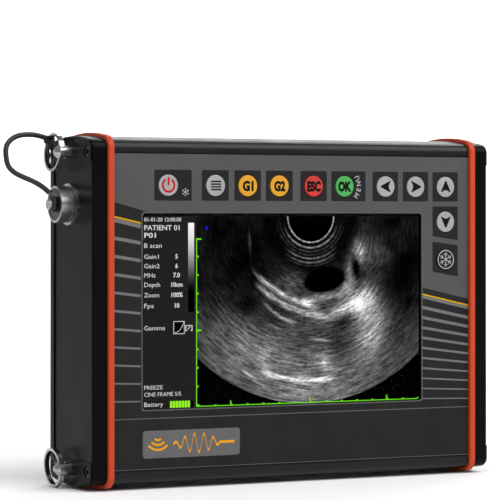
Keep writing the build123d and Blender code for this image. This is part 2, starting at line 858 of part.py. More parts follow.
eye_room = 2 * (eye_radius + gap)
knob_base_x = cap_face_x + cap_face_thickness + eye_room
knob_end_x = knob_base_x + knob_head_height
with BuildPart() as cap_knob:
    add(turned(
        [
            (cap_web_x - knob_tail_height, 0),
            (cap_web_x - knob_tail_height, knob_tail_radius),
            (cap_web_x, knob_tail_radius),
            (cap_web_x, knob_neck_radius),
            (knob_base_x, knob_neck_radius),
            (knob_base_x, knob_head_radius),
            (knob_end_x - 0.35, knob_head_radius),
            (knob_end_x, knob_head_radius - 0.6),
            (knob_end_x, 0),
        ],
        socket_z,
        -1,
    ))
finish(cap_knob.part, "cap_knob")

eye_x = cap_face_x + cap_face_thickness + eye_room / 2
eye_ring_radius = knob_neck_radius + fit_gap + eye_radius
with BuildPart() as tether_eye:
    with BuildSketch(Plane.XZ):
        with Locations((-eye_x, socket_z + eye_ring_radius)):
            Circle(eye_radius)
    revolve(axis=Axis((0, 0, socket_z), (1, 0, 0)))
finish(tether_eye.part, "tether_eye")

for tether_name, tether_points in (
    ("tether_cord_upper", tether_upper),
    ("tether_cord_lower", tether_lower),
):
    with BuildPart() as tether:
        add(cord(tether_points, tether_diameter, tether_name))
    finish(tether.part, tether_name)

# ---------------------------------------------------------------- charging socket
charge_end_x = field_x + charge_reach
charge_tail_x = cap_inner_x - barrel_tail
charge_face_x = charge_end_x - charge_bore_depth
insert_bore_radius = charge_bore_radius - charge_bore_step
with BuildPart() as charge_socket_shell:
    add(turned(
        [
            (charge_tail_x, insert_bore_radius),
            (charge_tail_x, charge_barrel_radius),
            (field_x, charge_barrel_radius),
            (field_x, charge_flange_radius),
            (field_x + charge_flange_thickness, charge_flange_radius),
            (field_x + charge_flange_thickness, charge_barrel_radius),
            (charge_end_x, charge_barrel_radius),
            (charge_end_x, charge_bore_radius),
            (charge_face_x, charge_bore_radius),
            (charge_face_x, insert_bore_radius),
        ],
        socket_z,
    ))
finish(charge_socket_shell.part, "charge_socket_shell")

with BuildPart() as charge_socket_nut:
    with BuildSketch(Plane.YZ.offset(cap_inner_x)):
        with Locations((0, socket_z)):
            RegularPolygon(charge_nut_radius, 6)
            Circle(charge_barrel_radius + hole_gap / 2, mode=Mode.SUBTRACT)
    extrude(amount=-socket_nut_height)
finish(charge_socket_nut.part, "charge_socket_nut")

with BuildPart() as charge_socket_insert:
    with BuildSketch(Plane.YZ.offset(charge_face_x)):
        with Locations((0, socket_z)):
            Circle(insert_bore_radius - hole_gap / 2)
    extrude(amount=-(charge_face_x - charge_tail_x))
    with BuildSketch(Plane.YZ.offset(charge_face_x)):
        with Locations((0, socket_z)):
            with PolarLocations(charge_contact_circle, charge_contacts):
                Circle(contact_radius)
    extrude(amount=-contact_depth, mode=Mode.SUBTRACT)
finish(charge_socket_insert.part, "charge_socket_insert")

# ---------------------------------------------------------------- inner leads
def lead_route(start, start_way, end, end_way):
    """A route that leaves both ends square to what they are fixed to."""
    start = Vector(*start) + Vector(*start_way) * hole_gap
    end = Vector(*end) + Vector(*end_way) * hole_gap
    inner = (start + Vector(*start_way) * lead_reach, end + Vector(*end_way) * lead_reach)
    return [tuple(point) for point in (start, *inner, end)]


lead_x = -25.0
tray_top_z = tray_bottom_z + tray_height
lead_routes = {
    "probe_harness": lead_route(
        (-socket_tail_x, 0, socket_z),
        (1, 0, 0),
        (header_left + header_width / 2, beam_rear_y + header_depth / 2, header_top_z),
        (0, 0, 1),
    ),
    "battery_lead": lead_route(
        (lead_x, cell_y, tray_top_z),
        (0, 0, 1),
        (lead_x + 6, board_rear_y, tray_top_z + 20),
        (0, 1, 0),
    ),
    "charge_lead": lead_route(
        (charge_tail_x, 0, socket_z),
        (-1, 0, 0),
        (main_header_right, board_front_y - header_depth / 2, main_header_top_z - header_height / 2),
        (1, 0, 0),
    ),
}
for lead_name, route_points in lead_routes.items():
    with BuildPart() as lead:
        add(cord(route_points, lead_diameter, lead_name))
    finish(lead.part, lead_name)
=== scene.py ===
import json
from math import cos, pi, radians, sin

import bmesh
import bpy
from mathutils import Matrix, Vector


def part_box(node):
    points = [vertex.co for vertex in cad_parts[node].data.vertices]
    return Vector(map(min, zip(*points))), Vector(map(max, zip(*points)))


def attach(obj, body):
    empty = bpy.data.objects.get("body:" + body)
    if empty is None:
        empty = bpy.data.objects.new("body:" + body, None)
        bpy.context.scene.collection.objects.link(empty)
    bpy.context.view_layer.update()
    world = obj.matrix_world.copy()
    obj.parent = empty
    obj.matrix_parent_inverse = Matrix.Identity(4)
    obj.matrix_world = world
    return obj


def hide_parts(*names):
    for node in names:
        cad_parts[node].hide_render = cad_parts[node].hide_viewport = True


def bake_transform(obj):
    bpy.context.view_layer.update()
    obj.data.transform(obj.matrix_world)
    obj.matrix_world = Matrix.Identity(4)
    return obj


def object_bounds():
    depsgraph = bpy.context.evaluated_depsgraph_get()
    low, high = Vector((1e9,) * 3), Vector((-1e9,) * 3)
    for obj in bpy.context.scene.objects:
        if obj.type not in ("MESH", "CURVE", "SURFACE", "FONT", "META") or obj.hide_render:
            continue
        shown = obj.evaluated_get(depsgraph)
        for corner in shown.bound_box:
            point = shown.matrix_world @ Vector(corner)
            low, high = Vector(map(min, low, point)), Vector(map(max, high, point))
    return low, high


# A portable ultrasound scanner. Sizes are in millimetres and become metres through MM.
# +X runs to the right along the case, -Y is the front, +Z is up.

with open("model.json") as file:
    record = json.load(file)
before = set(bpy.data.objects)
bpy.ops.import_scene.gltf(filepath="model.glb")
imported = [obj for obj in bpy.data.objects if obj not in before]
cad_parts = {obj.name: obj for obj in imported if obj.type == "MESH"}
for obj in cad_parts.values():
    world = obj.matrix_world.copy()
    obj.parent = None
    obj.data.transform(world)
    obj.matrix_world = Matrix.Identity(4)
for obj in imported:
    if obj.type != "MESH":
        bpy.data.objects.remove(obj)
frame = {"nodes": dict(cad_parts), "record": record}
cad_low, cad_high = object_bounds()
scene = bpy.context.scene
MM = 0.001

# ---------------------------------------------------------------- camera and stage
eye = (-660.35, -1201.25, 128.75)
eye_turn = radians(-28.31)
lens = 199.1
sensor = 36.0
view_drop = -0.063
floor_reach = 4.0
floor_side = 6.0
sweep_radius = 1.2
sweep_height = 4.0
floor_white = 0.96
sky_light = 0.3


def add_camera():
    data = bpy.data.cameras.new("camera")
    data.lens = lens
    data.sensor_width = sensor
    data.shift_y = view_drop
    data.clip_start = 0.05
    data.clip_end = 50.0
    camera = bpy.data.objects.new("camera", data)
    camera.location = Vector(eye) * MM
    camera.rotation_euler = (pi / 2, 0.0, eye_turn)
    scene.collection.objects.link(camera)
    scene.camera = camera


def add_light(name, place, target, width, height, power):
    """A rectangular softbox that faces its target, in metres and watts."""
    data = bpy.data.lights.new(name, "AREA")
    data.shape = "RECTANGLE"
    data.size = width
    data.size_y = height
    data.energy = power
    light = bpy.data.objects.new(name, data)
    light.location = place
    light.rotation_euler = (Vector(target) - Vector(place)).to_track_quat("-Z", "Y").to_euler()
    scene.collection.objects.link(light)


add_camera()

# ---------------------------------------------------------------- node arithmetic


class Value:
    """A number in a node tree. It can be used in sums, and each step of a sum is a Math node."""

    def __init__(self, tree, socket):
        self.tree = tree
        self.socket = socket

    def math(self, operation, *others):
        node = self.tree.nodes.new("ShaderNodeMath")
        node.operation = operation
        for slot, value in zip(node.inputs, (self,) + others):
            if isinstance(value, Value):
                self.tree.links.new(value.socket, slot)
            else:
                slot.default_value = value
        return Value(self.tree, node.outputs[0])

    def __add__(self, other):
        return self.math("ADD", other)

    def __sub__(self, other):
        return self.math("SUBTRACT", other)

    def __mul__(self, other):
        return self.math("MULTIPLY", other)

    def __truediv__(self, other):
        return self.math("DIVIDE", other)

    def power(self, other):
        return self.math("POWER", other)

    def limited(self, low, high):
        return self.math("MAXIMUM", low).math("MINIMUM", high)

    def step(self, low, high, start=0.0, end=1.0):
        """start below low, end above high, and a smooth change between them."""
        node = self.tree.nodes.new("ShaderNodeMapRange")
        node.interpolation_type = "SMOOTHSTEP"
        self.tree.links.new(self.socket, node.inputs["Value"])
        for key, value in (("From Min", low), ("From Max", high), ("To Min", start), ("To Max", end)):
            node.inputs[key].default_value = value
        return Value(self.tree, node.outputs["Result"])


def bell(value):
    """A bump one high and about one wide each side, from the square of a distance."""
    return (value * -1.0).math("EXPONENT")


def place(tree):
    """The surface point's X, Y and Z in the object, in millimetres."""
    coordinates = tree.nodes.new("ShaderNodeTexCoord")
    parts = tree.nodes.new("ShaderNodeSeparateXYZ")
    tree.links.new(coordinates.outputs["Object"], parts.inputs[0])
    return [Value(tree, output) * (1.0 / MM) for output in parts.outputs]


def joined(tree, x, y, z):
    node = tree.nodes.new("ShaderNodeCombineXYZ")
    for slot, value in zip(node.inputs, (x, y, z)):
        if isinstance(value, Value):
            tree.links.new(value.socket, slot)
        else:
            slot.default_value = value
    return node.outputs[0]


def noise(tree, vector, scale, detail=2.0, roughness=0.5):
    node = tree.nodes.new("ShaderNodeTexNoise")
    tree.links.new(vector, node.inputs["Vector"])
    node.inputs["Scale"].default_value = scale
    node.inputs["Detail"].default_value = detail
    node.inputs["Roughness"].default_value = roughness
    return Value(tree, node.outputs["Fac"])


def blended(tree, factor, first, second):
    """A colour between first and second, each a colour or a colour socket."""
    node = tree.nodes.new("ShaderNodeMix")
    node.data_type = "RGBA"
    tree.links.new(factor.socket, node.inputs["Factor"])
    for slot, colour in (("A", first), ("B", second)):
        socket = [s for s in node.inputs if s.name == slot and s.type == "RGBA"][0]
        if isinstance(colour, bpy.types.NodeSocket):
            tree.links.new(colour, socket)
        else:
            socket.default_value = (*colour, 1.0)
    return [s for s in node.outputs if s.type == "RGBA"][0]


def linear(red, green, blue):
    """A display colour, 0 to 255, as the light values that shaders use."""
    shares = [channel / 255.0 for channel in (red, green, blue)]
    return tuple(share / 12.92 if share <= 0.04 else ((share + 0.055) / 1.055) ** 2.4 for share in shares)


def shaded(colour, factor):
    return tuple(min(1.0, c * factor) for c in colour)


# ---------------------------------------------------------------- materials


def new_material(name):
    material = bpy.data.materials.new(name)
    material.use_nodes = True
    tree = material.node_tree
    return material, tree, tree.nodes["Principled BSDF"]


def surface(name, colour, roughness, mottle=0.1, grain=1.1, bump=0.02, metallic=0.0, specular=0.5,
            coat=0.0, stretch=(1.0, 1.0, 1.0), cloud=14.0, sheen=0.0):
    """A moulded, painted or metal finish: cloudy colour, fine grain and uneven gloss.
    grain and cloud are the sizes of the fine and the wide pattern, bump is the grain's height."""
    material, tree, shader = new_material(name)
    x, y, z = place(tree)
    spot = joined(tree, x * stretch[0], y * stretch[1], z * stretch[2])
    fine = noise(tree, spot, 1.0 / grain, 3.0, 0.6)
    wide = noise(tree, joined(tree, x, y, z), 1.0 / cloud, 2.0, 0.5)
    tint = (fine * 0.5 + wide * 0.5).step(0.3, 0.7)
    tree.links.new(
        blended(tree, tint, shaded(colour, 1.0 - mottle), shaded(colour, 1.0 + mottle)),
        shader.inputs["Base Color"],
    )
    gloss = (fine - 0.5) * 0.16 + (wide - 0.5) * 0.18 + roughness
    tree.links.new(gloss.limited(0.03, 1.0).socket, shader.inputs["Roughness"])
    relief = tree.nodes.new("ShaderNodeBump")
    relief.inputs["Strength"].default_value = 1.0
    relief.inputs["Distance"].default_value = bump * MM
    tree.links.new(fine.socket, relief.inputs["Height"])
    tree.links.new(relief.outputs["Normal"], shader.inputs["Normal"])
    shader.inputs["Metallic"].default_value = metallic
    shader.inputs["Specular IOR Level"].default_value = specular
    shader.inputs["Coat Weight"].default_value = coat
    shader.inputs["Sheen Weight"].default_value = sheen
    return material


def clear_cover(name):
    """A clear hard window with the faintest haze."""
    material, tree, shader = new_material(name)
    x, y, z = place(tree)
    haze = noise(tree, joined(tree, x, y, z), 0.12, 2.0)
    tree.links.new((haze * 0.03 + 0.02).socket, shader.inputs["Roughness"])
    shader.inputs["Base Color"].default_value = (1.0, 1.0, 1.0, 1.0)
    shader.inputs["Transmission Weight"].default_value = 1.0
    shader.inputs["IOR"].default_value = 1.04
    return material


def glowing(name, colour, strength=1.0, ripple=0.06):
    """A lit part of the display: its own light, with the faint unevenness of small dots."""
    material, tree, shader = new_material(name)
    x, y, z = place(tree)
    dots = noise(tree, joined(tree, x, y, z), 2.2, 1.0)
    light = blended(tree, dots, shaded(colour, 1.0 - ripple), shaded(colour, 1.0 + ripple))
    tree.links.new(light, shader.inputs["Emission Color"])
    shader.inputs["Emission Strength"].default_value = strength
    shader.inputs["Base Color"].default_value = (0.0, 0.0, 0.0, 1.0)
    shader.inputs["Specular IOR Level"].default_value = 0.0
    shader.inputs["Roughness"].default_value = 0.9
    return material


finishes = {
    "case_black": dict(colour=linear(14, 14, 15), roughness=0.34, grain=0.35, bump=0.003, specular=0.26),
    "cap_black": dict(colour=linear(5, 5, 6), roughness=0.34, grain=0.5, bump=0.004, specular=0.07),
    "bumper_red": dict(colour=linear(188, 63, 32), roughness=0.5, mottle=0.06, grain=0.4, bump=0.004,
                       specular=0.25),
    "screw_black": dict(colour=linear(34, 34, 35), roughness=0.3, metallic=0.4, bump=0.002),
    "overlay_print": dict(colour=linear(35, 35, 35), roughness=0.62, mottle=0.16, grain=0.3, bump=0.006,
                          specular=0.08),
    "display_black": dict(colour=linear(8, 8, 8), roughness=0.5, specular=0.1),
    "sheet_steel": dict(colour=linear(170, 172, 175), roughness=0.35, metallic=1.0,
                        stretch=(0.1, 1.0, 1.0)),
    "board_green": dict(colour=linear(24, 92, 52), roughness=0.45, mottle=0.2, coat=0.3),
    "ribbon_amber": dict(colour=linear(176, 108, 36), roughness=0.35, coat=0.4),
    "chip_black": dict(colour=linear(24, 24, 26), roughness=0.6, grain=0.25),
    "nickel": dict(colour=linear(176, 176, 175), roughness=0.28, metallic=1.0, mottle=0.06, grain=0.5,
                   bump=0.002, stretch=(1.0, 1.0, 0.3)),
    "cell_wrap": dict(colour=linear(62, 120, 176), roughness=0.35, coat=0.3),
    "tray_black": dict(colour=linear(28, 28, 28), roughness=0.6),
    "lead_black": dict(colour=linear(22, 22, 22), roughness=0.5),
    "insert_black": dict(colour=linear(20, 20, 20), roughness=0.55),
    "tether_black": dict(colour=linear(30, 30, 31), roughness=0.5, grain=0.5, bump=0.03, specular=0.4),
    "cap_metal": dict(colour=linear(178, 178, 177), roughness=0.3, metallic=1.0, mottle=0.18, grain=0.9,
                      bump=0.02),
    "cap_dark": dict(colour=linear(74, 74, 74), roughness=0.3, metallic=0.8, mottle=0.12, bump=0.003),
    "seal_rubber": dict(colour=linear(20, 20, 20), roughness=0.7, grain=0.4),
    "ring_steel": dict(colour=linear(182, 182, 181), roughness=0.16, metallic=1.0, mottle=0.05, grain=0.6,
                       bump=0.002, stretch=(1.0, 0.4, 0.4)),
    "key_silver": dict(colour=linear(156, 156, 157), roughness=0.4, mottle=0.05, grain=0.25, bump=0.004,
                       metallic=0.15),
    "key_yellow": dict(colour=linear(208, 146, 6), roughness=0.5, mottle=0.04, grain=0.25, bump=0.004),
    "key_red": dict(colour=linear(190, 34, 20), roughness=0.5, mottle=0.04, grain=0.25, bump=0.004),
    "key_green": dict(colour=linear(60, 158, 74), roughness=0.5, mottle=0.05, grain=0.25, bump=0.004),
    "key_black": dict(colour=linear(22, 22, 22), roughness=0.45, mottle=0.08, grain=0.25, bump=0.004,
                      specular=0.25),
}
materials = {slot: surface(slot, **finish) for slot, finish in finishes.items()}
materials["window_clear"] = clear_cover("window_clear")

for subpart in frame["record"]["subparts"]:
    mesh = frame["nodes"][subpart["node"]].data
    mesh.materials.clear()
    mesh.materials.append(materials[subpart["material_slot"]])


def print_ink(name, colour, mottle=0.05, roughness=0.6, specular=0.08):
    return surface(name, colour, roughness, mottle=mottle, grain=0.3, bump=0.005, specular=specular)


ink_grey = print_ink("ink_grey", linear(79, 79, 79))
ink_frame = print_ink("ink_frame", linear(34, 34, 34), mottle=0.14)
ink_stripe = print_ink("ink_stripe", linear(106, 106, 106))
ink_line = print_ink("ink_line", linear(86, 86, 86))
ink_yellow = print_ink("ink_yellow", linear(196, 150, 0))
ink_mark = print_ink("ink_mark", linear(186, 186, 186))
ink_black = print_ink("ink_black", linear(12, 12, 12))
ink_red = print_ink("ink_red", linear(176, 18, 18))
ink_plate = print_ink("ink_plate", linear(98, 98, 98))
ink_amber = print_ink("ink_amber", linear(222, 150, 18))

# ---------------------------------------------------------------- outlines
# An outline is a closed list of (x, z) points in the plane of the panel.


def circle(x, z, radius, steps=48):
    turn = 2 * pi / steps
    return [(x + radius * cos(turn * i), z + radius * sin(turn * i)) for i in range(steps)]


def arc(x, z, radius, start, end, steps=16):
    """Points along an arc, with its angles in degrees from +X towards +Z."""
    angles = [radians(start + (end - start) * i / steps) for i in range(steps + 1)]
    return [(x + radius * cos(a), z + radius * sin(a)) for a in angles]


def rectangle(left, bottom, right, top, radius=0.0):
    return tray(left, right, bottom, bottom, top, top, radius)


def tray(left, right, bottom_left, bottom_right, top_left, top_right, radius):
    """A four-sided outline with upright sides, sloping top and bottom, and rounded corners."""
    if not radius:
        return [(left, bottom_left), (right, bottom_right), (right, top_right), (left, top_left)]
    return (
        arc(left + radius, bottom_left + radius, radius, 180, 270, 5)
        + arc(right - radius, bottom_right + radius, radius, 270, 360, 5)
        + arc(right - radius, top_right - radius, radius, 0, 90, 5)
        + arc(left + radius, top_left - radius, radius, 90, 180, 5)
    )


def slant(left, right, top_left, top_right, thickness):
    """A straight stripe that hangs below a line from its left to its right end."""
    return [
        (left, top_left - thickness),
        (right, top_right - thickness),
        (right, top_right),
        (left, top_left),
    ]


def bar(start, end, width):
    """A straight stroke between two points."""
    along = (Vector(end) - Vector(start)).normalized()
    across = Vector((-along.y, along.x)) * width / 2
    corners = (Vector(start) - across, Vector(end) - across, Vector(end) + across, Vector(start) + across)
    return [tuple(corner) for corner in corners]


def band(x, z, inner, outer, start, end):
    """A piece of a ring."""
    return arc(x, z, outer, start, end, 32) + arc(x, z, inner, end, start, 32)


# ---------------------------------------------------------------- thin plates
WELD = 1e-7


def solid_from(curve):
    """The closed mesh of a flat curve or text, still lying in the curve's own plane."""
    holder = bpy.data.objects.new("holder", curve)
    scene.collection.objects.link(holder)
    bpy.context.view_layer.update()
    mesh = bpy.data.meshes.new_from_object(holder)
    bpy.data.objects.remove(holder)
    bpy.data.curves.remove(curve)
    return mesh


def plate(loops, back, thickness):
    """A thin plate with these outlines. Its back lies in the plane Y = back and it stands forward."""
    curve = bpy.data.curves.new("outline", "CURVE")
    curve.dimensions = "2D"
    curve.fill_mode = "BOTH"
    curve.extrude = thickness / 2
    for loop in loops:
        spline = curve.splines.new("POLY")
        spline.points.add(len(loop) - 1)
        for point, (x, z) in zip(spline.points, loop):
            point.co = (x, z, 0.0, 1.0)
        spline.use_cyclic_u = True
    return stood_up(solid_from(curve), back, thickness)


def stood_up(mesh, back, thickness):
    """Turns a mesh from the drawing plane to the panel: x to X, y to Z, and its thickness forward."""
    turn = Matrix.Rotation(pi / 2, 4, "X")
    shift = Matrix.Translation((0.0, back - thickness / 2, 0.0))
    mesh.transform(Matrix.Scale(MM, 4) @ shift @ turn)
    return mesh


def words(text, x, z, height, back, thickness, width=0.0, align="LEFT", weight=0.0, turn=0.0):
    """Raised lettering on a baseline at z, with capitals of this height, fitted to a width if given."""
    curve = bpy.data.curves.new("text", "FONT")
    curve.body = text
    curve.size = height / cap_share
    curve.extrude = thickness / 2
    curve.offset = weight
    curve.resolution_u = 3
    curve.align_x = align
    mesh = solid_from(curve)
    spread = [v.co.x for v in mesh.vertices]
    scale = width / (max(spread) - min(spread)) if width else 1.0
    start = min(spread) * scale if align == "LEFT" else 0.0
    placed = Matrix.Translation((x - start, z, 0.0)) @ Matrix.Rotation(radians(turn), 4, "Z")
    mesh.transform(placed @ Matrix.Diagonal((scale, 1.0, 1.0, 1.0)))
    return stood_up(mesh, back, thickness)


cap_share = 0.729


def piece(name, meshes, material, body):
    """One object of these meshes, welded, with one material, that rides on a body."""
    shape = bmesh.new()
    for mesh in meshes:
        shape.from_mesh(mesh)
        bpy.data.meshes.remove(mesh)
    bmesh.ops.remove_doubles(shape, verts=shape.verts, dist=WELD)
    bmesh.ops.recalc_face_normals(shape, faces=shape.faces)
    made = bpy.data.meshes.new(name)
    shape.to_mesh(made)
    shape.free()
    made.materials.append(material)
    thing = bpy.data.objects.new(name, made)
    scene.collection.objects.link(thing)
    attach(thing, body)
    return thing


# ---------------------------------------------------------------- the printed panel
overlay_low, overlay_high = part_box("front_overlay")
panel_left = overlay_low.x / MM
panel_right = overlay_high.x / MM
panel_bottom = overlay_low.z / MM
panel_top = overlay_high.z / MM
panel_front = overlay_low.y / MM
ink = 0.04
frame_front = panel_front - ink
mark_front = frame_front - ink

opening_left = -83.65
opening_right = 71.45
opening_bottom = 38.0
opening_top = 131.2
opening_radius = 1.5
stripe_end = opening_left - 1.1
key_hole = 5.4
keys = ("power", "menu", "g1", "g2", "esc", "ok", "left", "right", "up", "down", "freeze")


def key_centre(key):
    low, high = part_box(f"key_{key}")
    return (low.x + high.x) / 2 / MM, (low.z + high.z) / 2 / MM


def key_front(key):
    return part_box(f"key_{key}")[0].y / MM


holes = {key: circle(*key_centre(key), key_hole) for key in keys}
frames = {
    "power": (-77.6, -57.7),
    "menu": (-52.2, -37.65),
    "g1": (-34.5, -20.0),
    "g2": (-17.2, -2.35),
    "esc": (1.97, 16.8),
    "ok": (19.45, 38.9),
    "left": (43.0, 57.7),
    "right": (60.6, 75.3),
    "up": (78.0, 92.95),
}
frame_bottom = 137.3
frame_top = 152.0
frame_corner = 0.6
down_frame = (78.0, 92.95, 119.75, 117.95, 134.8, 134.8)
freeze_frame = (78.0, 92.95, 102.05, 99.55, 117.1, 115.35)


def plates_of(strokes, back):
    return [plate([stroke], back, ink) for stroke in strokes]


def printed(name, meshes, material):
    return piece(name, meshes, material, "root")


def printed_field():
    """The grey upper part of the panel, round the display's top and down its right side."""
    edge = [
        (panel_left, 136.65),
        (-79.45, 131.4),
        (opening_right, 131.4),
        (opening_right, 94.35),
        (panel_right, 88.2),
        (panel_right, panel_top),
        (panel_left, panel_top),
    ]
    return printed("print_field", [plate([edge, *holes.values()], panel_front, ink)], ink_grey)


def printed_frames():
    """The dark frame round each key."""
    meshes = [
        plate([rectangle(left, frame_bottom, right, frame_top, frame_corner), holes[key]], frame_front, ink)
        for key, (left, right) in frames.items()
    ]
    meshes.append(plate([tray(*down_frame, frame_corner), holes["down"]], frame_front, ink))
    meshes.append(plate([tray(*freeze_frame, frame_corner), holes["freeze"]], frame_front, ink))
    return printed("print_frames", meshes, ink_frame)


def printed_stripes():
    """Grey stripes beside the display, thinner and closer together towards the bottom."""
    left_stripes = [
        slant(panel_left, stripe_end, 120.4 - 8.64 * i, 117.95 - 8.4 * i, 1.65 - 0.111 * i)
        for i in range(10)
    ]
    right_stripes = [
        slant(opening_right, panel_right, 90.35 - 5.14 * i, 84.15 - 4.59 * i, 1.7 - 0.114 * i)
        for i in range(1, 11)
    ]
    under_yellow = [
        slant(panel_left, stripe_end, 129.1, 125.95, 1.9),
        slant(opening_right, panel_right, 90.45, 84.45, 1.5),
    ]
    loops = left_stripes + right_stripes + under_yellow
    return printed("print_stripes", plates_of(loops, panel_front), ink_stripe)


def printed_yellow():
    loops = [
        slant(panel_left, stripe_end, 130.1, 126.95, 0.8),
        slant(opening_right, panel_right, 91.35, 85.35, 0.75),
    ]
    return printed("print_yellow", plates_of(loops, panel_front), ink_yellow)


def printed_lines():
    """The thin line across the lower panel, the one at its bottom, and the display's outline."""
    outline, inside = (
        rectangle(
            opening_left - out,
            opening_bottom - out,
            opening_right + out,
            opening_top + out,
            opening_radius,
        )
        for out in (0.7, 0.1)
    )
    loops = [
        [slant(panel_left, panel_right, 34.05, 34.05, 0.5)],
        [slant(panel_left, panel_right, panel_bottom + 0.7, panel_bottom + 0.7, 0.3)],
        [outline, inside],
    ]
    return printed("print_lines", [plate(loop, frame_front, ink) for loop in loops], ink_line)


# ---------------------------------------------------------------- marks on the panel and keys


def snowflake(x, z, reach, width, branch, forks):
    """Six arms with a pair of short branches at each of the forks, which are shares of an arm."""
    strokes = []
    for arm in range(6):
        out = Vector((cos(radians(90 + 60 * arm)), sin(radians(90 + 60 * arm))))
        centre = Vector((x, z))
        strokes.append(bar(centre, centre + out * reach, width))
        for share in forks:
            fork = centre + out * reach * share
            for side in (-1, 1):
                aside = Matrix.Rotation(radians(50 * side), 2) @ out
                strokes.append(bar(fork, fork + aside * branch * (1.3 - share), width))
    return strokes


def notched_arrow(x, z, direction):
    """An arrow head with a notched back, pointing in a direction in degrees."""
    side = [(-1.6, 0.0), (-1.75, 0.9), (-2.75, 2.6), (-2.3, 2.8), (2.9, 0.35)]
    shape = side + [(2.9, -0.35)] + [(x, -z) for x, z in side[:0:-1] if x < 0]
    turn = Matrix.Rotation(radians(direction), 2)
    return [tuple(turn @ Vector(p) + Vector((x, z))) for p in shape]


def key_mark(key, meshes, material):
    return piece(f"mark_{key}", meshes, material, f"{key}_key")


def power_mark():
    x, z = key_centre("power")
    back = key_front("power")
    ring = band(x, z, 2.6, 3.6, 90 + 30, 450 - 30)
    stem = rectangle(x - 0.5, z, x + 0.5, z + 3.9)
    key_mark("power", plates_of([ring, stem], back), ink_red)


def menu_mark():
    x, z = key_centre("menu")
    rises = (1.95, 0.65, -0.65, -1.95)
    lines = [rectangle(x - 2.6, z + rise - 0.36, x + 2.9, z + rise + 0.36) for rise in rises]
    key_mark("menu", plates_of(lines, key_front("menu")), ink_black)


def letter_mark(key, text, height, width, weight):
    x, z = key_centre(key)
    mesh = words(text, x - width / 2, z - height / 2, height, key_front(key), ink, width, weight=weight)
    key_mark(key, [mesh], ink_black)


def arrow_mark(key, direction):
    key_mark(key, plates_of([notched_arrow(*key_centre(key), direction)], key_front(key)), ink_black)


def freeze_mark():
    x, z = key_centre("freeze")
    back = key_front("freeze")
    rim = plate([circle(x, z, 4.75), circle(x, z, 4.4)], back, ink)
    key_mark("freeze", [rim] + plates_of(snowflake(x, z, 3.7, 0.3, 1.7, (0.55,)), back), ink_mark)


def panel_marks():
    """The small snowflake beside the power key, and the word that curves round the OK key."""
    meshes = plates_of(snowflake(-60.95, 141.35, 1.95, 0.22, 0.9, (0.62,)), mark_front)
    x, z = key_centre("ok")
    reach = 9.5
    for letter, angle in zip("MENU", (-33, -12, 9.5, 29)):
        spot = (x + reach * cos(radians(angle)), z + reach * sin(radians(angle)))
        meshes.append(words(letter, *spot, 2.5, mark_front, ink, align="CENTER", turn=angle + 90))
    return printed("print_marks", meshes, ink_mark)


def name_plate():
    """A grey plate with a plain echo pictogram and a pulse trace instead of a name."""
    left, right, bottom, top = -83.65, -31.55, 14.85, 27.95
    printed("print_plate", plates_of([rectangle(left, bottom, right, top, 1.5)], panel_front), ink_plate)
    centre_x, centre_z = left + 8.0, top - 2.4
    arcs = [band(centre_x, centre_z, r, r + 1.1, 222, 318) for r in (1.6, 3.9, 6.2)]
    trace_left, trace_right, trace_z = left + 16.0, right - 3.0, (bottom + top) / 2
    steps = 120
    trace = []
    for i in range(steps + 1):
        share = i / steps
        swing = 4.6 * sin(pi * min(1.0, share * 1.25)) * sin(2 * pi * 6.5 * share)
        trace.append((trace_left + (trace_right - trace_left) * share, trace_z + swing))
    outline = [(x, z + 0.65) for x, z in trace] + [(x, z - 0.65) for x, z in reversed(trace)]
    printed("print_pictogram", plates_of(arcs + [outline], frame_front), ink_amber)


printed_field()
printed_frames()
printed_stripes()
printed_yellow()
printed_lines()
power_mark()
menu_mark()
letter_mark("g1", "G1", 4.6, 6.0, 0.36)
letter_mark("g2", "G2", 4.6, 6.2, 0.36)
letter_mark("esc", "ESC", 4.6, 7.6, 0.4)
letter_mark("ok", "OK", 4.5, 7.6, 0.4)
arrow_mark("left", 180)
arrow_mark("right", 0)
arrow_mark("up", 90)
arrow_mark("down", 270)
freeze_mark()
panel_marks()
name_plate()

# ---------------------------------------------------------------- the display's picture
screen_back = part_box("lcd_module")[0].y / MM
dot = 0.02
picture_front = screen_back - dot
picture_left = -82.54
picture_right = 70.87
picture_bottom = 38.4
picture_top = 129.8
column_edge = -54.17
disc_x, disc_z, disc_radius = 8.75, 130.0, 12.4
fan_x, fan_z, fan_radius = 8.57, 131.66, 93.63


def oval(x, z, centre_x, centre_z, half_width, half_height, tilt=0.0):
    """The squared distance from an oval's centre, one on its outline. tilt is in degrees."""
    along_x, along_z = cos(radians(tilt)), sin(radians(tilt))
    dx = x - centre_x
    dz = z - centre_z
    along = (dx * along_x + dz * along_z) / half_width
    across = (dz * along_x - dx * along_z) / half_height
    return along * along + across * across


def ridge(x, z, points, width, start, end):
    """A bright line along the parabola through three points, fading at its ends."""
    (x1, z1), (x2, z2), (x3, z3) = points
    first = (z2 - z1) / (x2 - x1)
    second = ((z3 - z2) / (x3 - x2) - first) / (x3 - x1)
    height = z - ((x - x1) * first + (x - x1) * (x - x2) * second + z1)
    line = bell(height * height * (1.0 / width**2))
    return line * x.step(start - 3.0, start + 3.0) * x.step(end - 3.0, end + 3.0, 1.0, 0.0)


